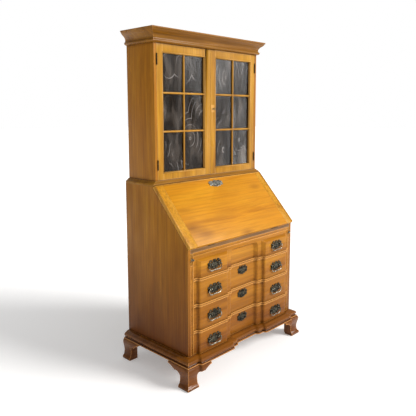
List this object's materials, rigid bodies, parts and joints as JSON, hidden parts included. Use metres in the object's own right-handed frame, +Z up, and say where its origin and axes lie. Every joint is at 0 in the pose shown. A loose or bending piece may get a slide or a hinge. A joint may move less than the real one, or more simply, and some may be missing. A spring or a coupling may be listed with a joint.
{
  "type": "secretary desk",
  "caption": "Slant-lid secretary desk with block-front drawers, ogee bracket feet, bat-wing brasses and a bookcase top with glazed doors.",
  "frame": {"origin": "middle of the footprint, on the floor", "axes": "+X is to the right as seen from the front, -Y is the front where the user sits, +Z is up"},
  "size_m": [1.014, 0.571, 1.879],
  "materials": {
    "honey_maple": "satin lacquer over honey-brown maple",
    "door_maple": "satin lacquer over lighter golden maple",
    "lid_maple": "satin lacquer over golden maple",
    "drawer_maple": "satin lacquer over honey maple",
    "secondary_wood": "unpolished pale wood",
    "interior_wood": "thin oil finish",
    "antique_brass": "dark antique brass, bright on the worn edges",
    "silvered_brass": "worn silvery brass",
    "hinge_brass": "dark bronzed brass",
    "lock_steel": "plain steel",
    "old_glass": "clear, wavy, seeded glass"
  },
  "bodies": {
    "case": {"case_sides": "honey_maple", "case_back": "secondary_wood", "case_bottom": "secondary_wood", "desk_top_board": "honey_maple", "writing_board": "honey_maple", "front_rails": "honey_maple", "drawer_runners": "secondary_wood", "base_moulding": "honey_maple", "bracket_feet": "honey_maple", "waist_moulding": "honey_maple", "gallery_case": "interior_wood", "bookcase_sides": "honey_maple", "bookcase_ends": "honey_maple", "bookcase_back": "secondary_wood", "bookcase_shelves": "interior_wood", "cornice": "honey_maple", "door_hinge_posts": "hinge_brass", "lid_hinge_posts": "hinge_brass"},
    "left_door": {"left_door_frame": "door_maple", "left_door_muntins": "door_maple", "left_door_panes": "old_glass", "left_door_hinge_leaves": "hinge_brass"},
    "right_door": {"right_door_frame": "door_maple", "right_door_muntins": "door_maple", "right_door_panes": "old_glass", "right_door_hinge_leaves": "hinge_brass", "right_door_lock": "lock_steel"},
    "door_key": {"door_key": "antique_brass"},
    "door_bolt": {"door_lock_bolt": "lock_steel"},
    "lid": {"lid_panel": "lid_maple", "lid_breadboard_ends": "lid_maple", "lid_escutcheon_and_lock": "silvered_brass", "lid_hinge_leaves": "hinge_brass"},
    "lid_bolt": {"lid_lock_bolt": "lock_steel"},
    "loper_left": {"loper_left": "honey_maple", "loper_left_knob": "antique_brass"},
    "loper_right": {"loper_right": "honey_maple", "loper_right_knob": "antique_brass"},
    "drawer_4": {"drawer_4_front": "drawer_maple", "drawer_4_box": "secondary_wood", "drawer_4_pull_plates": "antique_brass"},
    "drawer_4_bail_left": {"drawer_4_bail_left": "antique_brass"},
    "drawer_4_bail_right": {"drawer_4_bail_right": "antique_brass"},
    "drawer_3": {"drawer_3_front": "drawer_maple", "drawer_3_box": "secondary_wood", "drawer_3_pull_plates": "antique_brass"},
    "drawer_3_bail_left": {"drawer_3_bail_left": "antique_brass"},
    "drawer_3_bail_right": {"drawer_3_bail_right": "antique_brass"},
    "drawer_2": {"drawer_2_front": "drawer_maple", "drawer_2_box": "secondary_wood", "drawer_2_pull_plates": "antique_brass"},
    "drawer_2_bail_left": {"drawer_2_bail_left": "antique_brass"},
    "drawer_2_bail_right": {"drawer_2_bail_right": "antique_brass"},
    "drawer_1": {"drawer_1_front": "drawer_maple", "drawer_1_box": "secondary_wood", "drawer_1_pull_plates": "antique_brass"},
    "drawer_1_bail_left": {"drawer_1_bail_left": "antique_brass"},
    "drawer_1_bail_right": {"drawer_1_bail_right": "antique_brass"},
    "gallery_drawer_left": {"gallery_drawer_left": "interior_wood"},
    "gallery_drawer_right": {"gallery_drawer_right": "interior_wood"}
  },
  "joints": [
    {"name": "lid_fold", "type": "hinge", "parent": "case", "child": "lid", "pos_m": [0, -0.223, 0.7374], "axis": [1, 0, 0], "range_deg": [0, 132.8]},
    {"name": "lid_bolt_shoot", "type": "slide", "parent": "lid", "child": "lid_bolt", "axis": [0, 0.6794, 0.7337], "range_m": [0, 0.008]},
    {"name": "left_door_swing", "type": "hinge", "parent": "case", "child": "left_door", "pos_m": [-0.4125, 0.0511, 1.435], "axis": [0, 0, -1], "range_deg": [0, 110]},
    {"name": "right_door_swing", "type": "hinge", "parent": "case", "child": "right_door", "pos_m": [0.4125, 0.0511, 1.435], "axis": [0, 0, 1], "range_deg": [0, 110]},
    {"name": "door_key_turn", "type": "hinge", "parent": "right_door", "child": "door_key", "pos_m": [0.021, 0.0545, 1.458], "axis": [0, -1, 0], "range_deg": [0, 90]},
    {"name": "door_bolt_shoot", "type": "slide", "parent": "right_door", "child": "door_bolt", "axis": [-1, 0, 0], "range_m": [0, 0.008]},
    {"name": "loper_left_slide", "type": "slide", "parent": "case", "child": "loper_left", "axis": [0, -1, 0], "range_m": [0, 0.3]},
    {"name": "loper_right_slide", "type": "slide", "parent": "case", "child": "loper_right", "axis": [0, -1, 0], "range_m": [0, 0.3]},
    {"name": "drawer_4_slide", "type": "slide", "parent": "case", "child": "drawer_4", "axis": [0, -1, 0], "range_m": [0, 0.38]},
    {"name": "drawer_4_bail_left_swing", "type": "hinge", "parent": "drawer_4", "child": "drawer_4_bail_left", "pos_m": [-0.278, -0.2511, 0.22], "axis": [-1, 0, 0], "range_deg": [0, 80]},
    {"name": "drawer_4_bail_right_swing", "type": "hinge", "parent": "drawer_4", "child": "drawer_4_bail_right", "pos_m": [0.278, -0.2511, 0.22], "axis": [-1, 0, 0], "range_deg": [0, 80]},
    {"name": "drawer_3_slide", "type": "slide", "parent": "case", "child": "drawer_3", "axis": [0, -1, 0], "range_m": [0, 0.38]},
    {"name": "drawer_3_bail_left_swing", "type": "hinge", "parent": "drawer_3", "child": "drawer_3_bail_left", "pos_m": [-0.278, -0.2511, 0.359], "axis": [-1, 0, 0], "range_deg": [0, 80]},
    {"name": "drawer_3_bail_right_swing", "type": "hinge", "parent": "drawer_3", "child": "drawer_3_bail_right", "pos_m": [0.278, -0.2511, 0.359], "axis": [-1, 0, 0], "range_deg": [0, 80]},
    {"name": "drawer_2_slide", "type": "slide", "parent": "case", "child": "drawer_2", "axis": [0, -1, 0], "range_m": [0, 0.38]},
    {"name": "drawer_2_bail_left_swing", "type": "hinge", "parent": "drawer_2", "child": "drawer_2_bail_left", "pos_m": [-0.278, -0.2511, 0.502], "axis": [-1, 0, 0], "range_deg": [0, 80]},
    {"name": "drawer_2_bail_right_swing", "type": "hinge", "parent": "drawer_2", "child": "drawer_2_bail_right", "pos_m": [0.278, -0.2511, 0.502], "axis": [-1, 0, 0], "range_deg": [0, 80]},
    {"name": "drawer_1_slide", "type": "slide", "parent": "case", "child": "drawer_1", "axis": [0, -1, 0], "range_m": [0, 0.38]},
    {"name": "drawer_1_bail_left_swing", "type": "hinge", "parent": "drawer_1", "child": "drawer_1_bail_left", "pos_m": [-0.278, -0.2511, 0.635], "axis": [-1, 0, 0], "range_deg": [0, 80]},
    {"name": "drawer_1_bail_right_swing", "type": "hinge", "parent": "drawer_1", "child": "drawer_1_bail_right", "pos_m": [0.278, -0.2511, 0.635], "axis": [-1, 0, 0], "range_deg": [0, 80]},
    {"name": "gallery_drawer_left_slide", "type": "slide", "parent": "case", "child": "gallery_drawer_left", "axis": [0, -1, 0], "range_m": [0, 0.15]},
    {"name": "gallery_drawer_right_slide", "type": "slide", "parent": "case", "child": "gallery_drawer_right", "axis": [0, -1, 0], "range_m": [0, 0.15]}
  ],
  "couplings": [
    {"joint": "door_key_turn", "follows": "door_bolt_shoot", "rad_per_m": 196.3}
  ]
}
